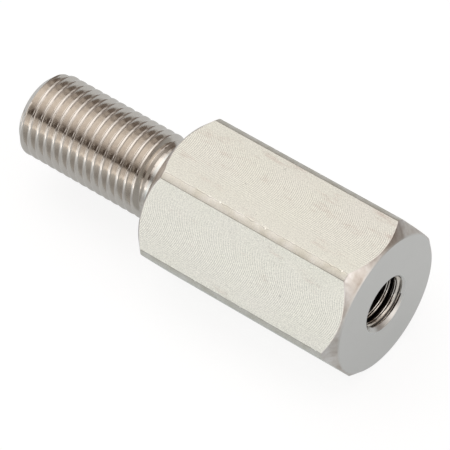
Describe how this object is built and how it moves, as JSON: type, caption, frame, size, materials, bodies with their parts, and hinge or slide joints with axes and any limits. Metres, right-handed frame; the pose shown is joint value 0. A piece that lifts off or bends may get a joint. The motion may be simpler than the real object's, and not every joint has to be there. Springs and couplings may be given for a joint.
{
  "type": "male-female hex adapter",
  "caption": "Hexagonal thread adapter: a threaded stud with a relief groove on one end, a countersunk blind tapped hole in the other.",
  "frame": {"origin": "centre of the shoulder face that the stud stands on, on the thread axis", "axes": "+X along the thread axis, out of the tapped hole; the stud points to -X; +Z is the outward normal of the hexagon flat on top, so the part lies on the flat at -Z"},
  "size_m": [0.0445, 0.0178, 0.0158],
  "materials": {
    "nickel_plated_steel": "satin nickel plate over milled and turned steel"
  },
  "bodies": {
    "root": {"hex_adapter": "nickel_plated_steel"}
  },
  "joints": []
}
